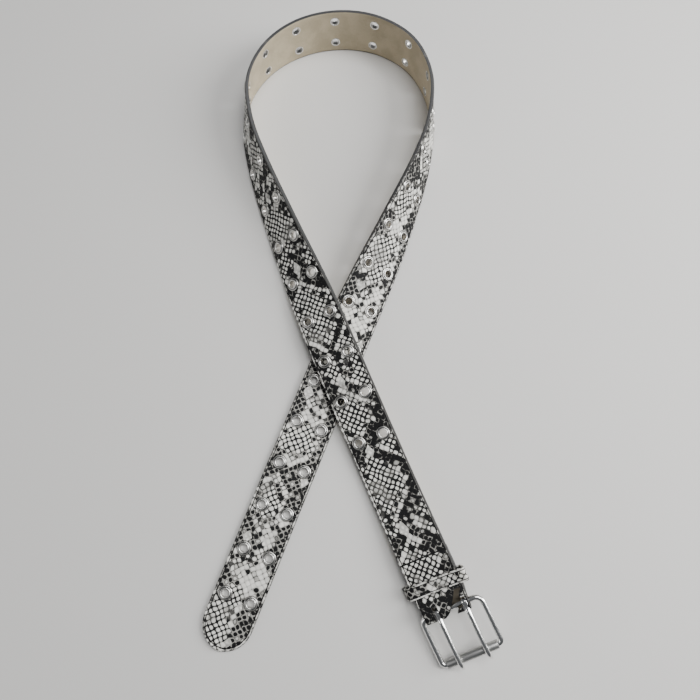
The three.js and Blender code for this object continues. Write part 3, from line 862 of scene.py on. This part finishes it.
def eyelets():
    mesh = bmesh.new()
    turned(mesh, eyelet["profile"], eyelet["steps"])
    plan = mesh.loops.layers.uv.new("eyeletPlan")
    for face in mesh.faces:
        for loop in face.loops:
            loop[plan].uv = (loop.vert.co.xy.length / 10, loop.vert.co.z / 10)
    source = list(mesh.verts) + list(mesh.edges) + list(mesh.faces)
    seats = [toRow @ seatAt(strap["firstPair"] + i * strap["pitch"], side * strap["rowOffset"])
             for i in range(strap["pairs"]) for side in (1, -1)]
    for seat in seats[1:]:
        made = bmesh.ops.duplicate(mesh, geom=source)["geom"]
        bmesh.ops.transform(mesh, matrix=seat, verts=vertsOf(made))
    bmesh.ops.transform(mesh, matrix=seats[0], verts=vertsOf(source))
    return addPiece(mesh, "eyelets", eyeletFinish(), "strap", eyeletNodes, 50)


eyelets()
print("eyelets set")

# keeper
keeper = {
    "width": 10, "at": -20.2, "around": 170, "printFrom": 205,
    "lineIn": 1.5, "lineWide": (0.22, 0.42), "rimIn": 1.2, "rimStrength": 0.85,
    # middle of the leather: across, height
    "line": [
        (-25.9, -3.4), (-25.3, -1.8), (-22.2, 3.5), (-20, 4.4), (-8, 4.5), (6, 4.9), (16, 6),
        (22.8, 7.6), (24.8, 7.4), (25.2, 5), (23.6, -1.2), (22, -3.7), (19.6, -4.4), (0, -4.4),
        (-22.6, -4.3), (-25.3, -4.1)],
    # along and outward, printed side first
    "profile": [
        (-4.7, 0.65), (-3.4, 0.65), (0, 0.65), (3.4, 0.65), (4.7, 0.65), (5, 0.4), (5, -0.4),
        (4.8, -0.65), (0, -0.65), (-4.8, -0.65), (-5, -0.4), (-5, 0.4)],
}


def keeperLoop():
    size = keeper
    line = smoothLine([*size["line"], size["line"][0]], size["around"] + 1)[:-1]
    places, steps = [], [0.0]
    for i, (y, z) in enumerate(line):
        before, after = line[i - 1], line[(i + 1) % len(line)]
        travel = Vector((after[0] - before[0], after[1] - before[1])).normalized()
        steps.append(steps[-1] + hypot(after[0] - y, after[1] - z))
        places.append(axesAt(
            (1, 0, 0), (0, -travel.y, travel.x), (0, travel.x, travel.y), (size["at"], y, z)))
    mesh = bmesh.new()
    sweep(mesh, size["profile"], places, closed=True)
    bmesh.ops.recalc_face_normals(mesh, faces=mesh.faces)

    # flat plan along the loop, and a packed map in three strips, given by their middles
    printedRow, hiddenRow, rimRow = 0.62, 0.2, 0.93
    plan = mesh.loops.layers.uv.new("strapPlan")
    packed = mesh.loops.layers.uv.new("OFBake")
    spots = [Vector(p) for p in line]
    count, total = len(spots), steps[-1]
    for face in mesh.faces:
        middle = face.calc_center_median()
        k = min(range(count), key=lambda i: (spots[i] - middle.yz).length)
        travel = spots[(k + 1) % count] - spots[k]
        outward = (middle.yz - spots[k]).dot(Vector((-travel.y, travel.x)).normalized())
        row = printedRow if outward > 0.5 else hiddenRow if outward < -0.5 else rimRow
        for loop in face.loops:
            co = loop.vert.co
            j = min(range(k - 2, k + 3), key=lambda i: (spots[i % count] - co.yz).length)
            around = steps[j % count] + (total if j >= count else -total if j < 0 else 0)
            beside = co.x - size["at"]
            loop[plan].uv = ((size["printFrom"] + around) / 100, beside / 100)
            rise = 0.04 * (outward + 0.5) if row == rimRow else 0.35 * beside / size["width"]
            loop[packed].uv = (0.02 + 0.94 * (around + 1) / (total + 2), row + rise)
    bmesh.ops.transform(mesh, matrix=endMatrix, verts=mesh.verts)
    finish = printedLeather("keeper_print", keeperLines, 7.0)
    return addPiece(mesh, "keeper_loop", finish, "strap", ["keeper"])


keeperLoop()
print("keeper made")

# buckle
buckle = {
    "wire": 2.15, "width": 49.1, "length": 37.5, "rearCorner": 5.5, "frontCorner": 3.2,
    "shift": 3, "pitch": 4.5, "turn": 1.2, "roller": 3.25, "rollerLength": 42, "gap": 0.3,
    "prong": 1.95, "eyeWall": 0.65,
}
buckleMatrix = endMatrix @ Matrix.Translation((0, buckle["shift"], 0)) @ Matrix.Rotation(
    radians(buckle["turn"]), 4, "Z") @ Matrix.Rotation(radians(buckle["pitch"]), 4, "Y")
polished = metalFinish(
    "polished_steel", (0.90, 0.90, 0.88), (0.70, 0.70, 0.68), 0.16, 0.10, 90.0, 0.00003)


def buckleFrame():
    size = buckle
    half, steps = size["width"] / 2, 12
    path = []

    def corner(along, across, radius, start):
        for i in range(steps + 1):
            angle = start + i * pi / (2 * steps)
            path.append((along + radius * cos(angle), across + radius * sin(angle), angle))
    front = size["length"] - size["frontCorner"]
    corner(front, half - size["frontCorner"], size["frontCorner"], 0)
    corner(size["rearCorner"], half - size["rearCorner"], size["rearCorner"], pi / 2)
    corner(size["rearCorner"], size["rearCorner"] - half, size["rearCorner"], pi)
    corner(front, size["frontCorner"] - half, size["frontCorner"], 1.5 * pi)
    places = [axesAt((cos(t), sin(t), 0), (0, 0, 1), (-sin(t), cos(t), 0), (x, y, 0))
              for x, y, t in path]
    mesh = bmesh.new()
    sweep(mesh, circlePoints(32, size["wire"]), places, closed=True)
    bmesh.ops.recalc_face_normals(mesh, faces=mesh.faces)
    bmesh.ops.transform(mesh, matrix=buckleMatrix, verts=mesh.verts)
    return addPiece(mesh, "buckle_wire", polished, "buckle", ["buckle_frame"])


def rollerTube():
    size = buckle
    inner, outer, half = size["wire"] + size["gap"], size["roller"], size["rollerLength"] / 2
    # radius and half length at the rounded rim
    rounded = [(outer - 0.28, half), (outer - 0.08, half - 0.1), (outer, half - 0.32)]
    profile = [(inner, -half), *[(r, -z) for r, z in rounded], *reversed(rounded), (inner, half)]
    mesh = bmesh.new()
    turned(mesh, profile, 48)
    dullAndShade = metalFinish(
        "dull_steel", (0.46, 0.46, 0.45), (0.30, 0.30, 0.29), 0.34, 0.16, 120.0, 0.00008)
    onBar = Matrix.Translation((size["length"], 0, 0)) @ Matrix.Rotation(pi / 2, 4, "X")
    place = buckleMatrix @ onBar
    bmesh.ops.transform(mesh, matrix=place, verts=mesh.verts)
    return addPiece(mesh, "roller_tube", dullAndShade, "roller", ["roller"])


def prong(name, at):
    # flat eye on the rear bar, wire, and tip bent down over the roller
    size = buckle
    eye = size["wire"] + size["gap"] + size["eyeWall"]
    angles = [radians(-40 - i * 28.75) for i in range(9)]  # the open eye round the rear bar
    # along, height, half width and half depth of the wire
    points = [(eye * cos(angle), eye * sin(angle), size["prong"], size["eyeWall"])
              for angle in angles]
    rest = size["roller"] + size["gap"] + 1.6
    reach = size["length"]
    points += [
        (3.5, 3.25, 1.95, 1), (7.5, 3.7, 2, 1.7), (16, 4.3, 2, 1.9), (28, 4.9, 1.9, 1.85),
        (reach - 1, rest, 1.8, 1.6), (reach + 2.2, rest - 0.4, 1.75, 1.6),
        (reach + 4.8, rest - 2, 1.65, 1.6), (reach + 6.4, rest - 4, 1.4, 1.4),
        (reach + 6.8, rest - 4.8, 0.9, 0.9)]
    line = smoothLine(points, 90)
    places = []
    for i, (x, z, wide, deep) in enumerate(line):
        before, after = line[max(i - 1, 0)], line[min(i + 1, len(line) - 1)]
        travel = Vector((after[0] - before[0], 0, after[1] - before[1])).normalized()
        other = travel.cross(Vector((0, 1, 0)))
        places.append(axesAt((0, wide, 0), other * deep, travel, (x, 0, z)))
    mesh = bmesh.new()
    sweep(mesh, circlePoints(24), places)
    bmesh.ops.recalc_face_normals(mesh, faces=mesh.faces)
    place = buckleMatrix @ Matrix.Translation((0, at - size["shift"], 0))
    bmesh.ops.transform(mesh, matrix=place, verts=mesh.verts)
    return addPiece(mesh, name + "_wire", polished, name, [name])


buckleFrame()
rollerTube()
for prongName, prongAt in zip(("prong_left", "prong_right"), fold["prongs"]):
    prong(prongName, prongAt)
print("buckle made")

# floor and lamps
floorMesh = bmesh.new()
bmesh.ops.create_grid(floorMesh, x_segments=1, y_segments=1, size=studio["floorSize"] / 2)
floorData = bpy.data.meshes.new("floor")
floorMesh.to_mesh(floorData)
floorMesh.free()
floor = bpy.data.objects.new("floor", floorData)
bpy.context.scene.collection.objects.link(floor)
floorFinish = Finish("plain_floor")
floorData.materials.append(
    floorFinish.surface(colour=studio["floorColour"], roughness=0.7, specular=0.2))

for lampName, place, aim, width, height, watts in studio["lamps"]:
    light = bpy.data.lights.new(lampName, "AREA")
    light.shape, light.size, light.size_y, light.energy = "RECTANGLE", width, height, watts
    lamp = bpy.data.objects.new(lampName, light)
    lamp.location = place
    lamp.rotation_euler = (Vector(aim) - Vector(place)).to_track_quat("-Z", "Y").to_euler()
    bpy.context.scene.collection.objects.link(lamp)

world = bpy.data.worlds.new("studio")
bpy.context.scene.world = world
world.use_nodes = True
background = world.node_tree.nodes["Background"]
background.inputs["Color"].default_value = (*studio["worldColour"], 1)
background.inputs["Strength"].default_value = studio["worldPower"]

print("scene ready")
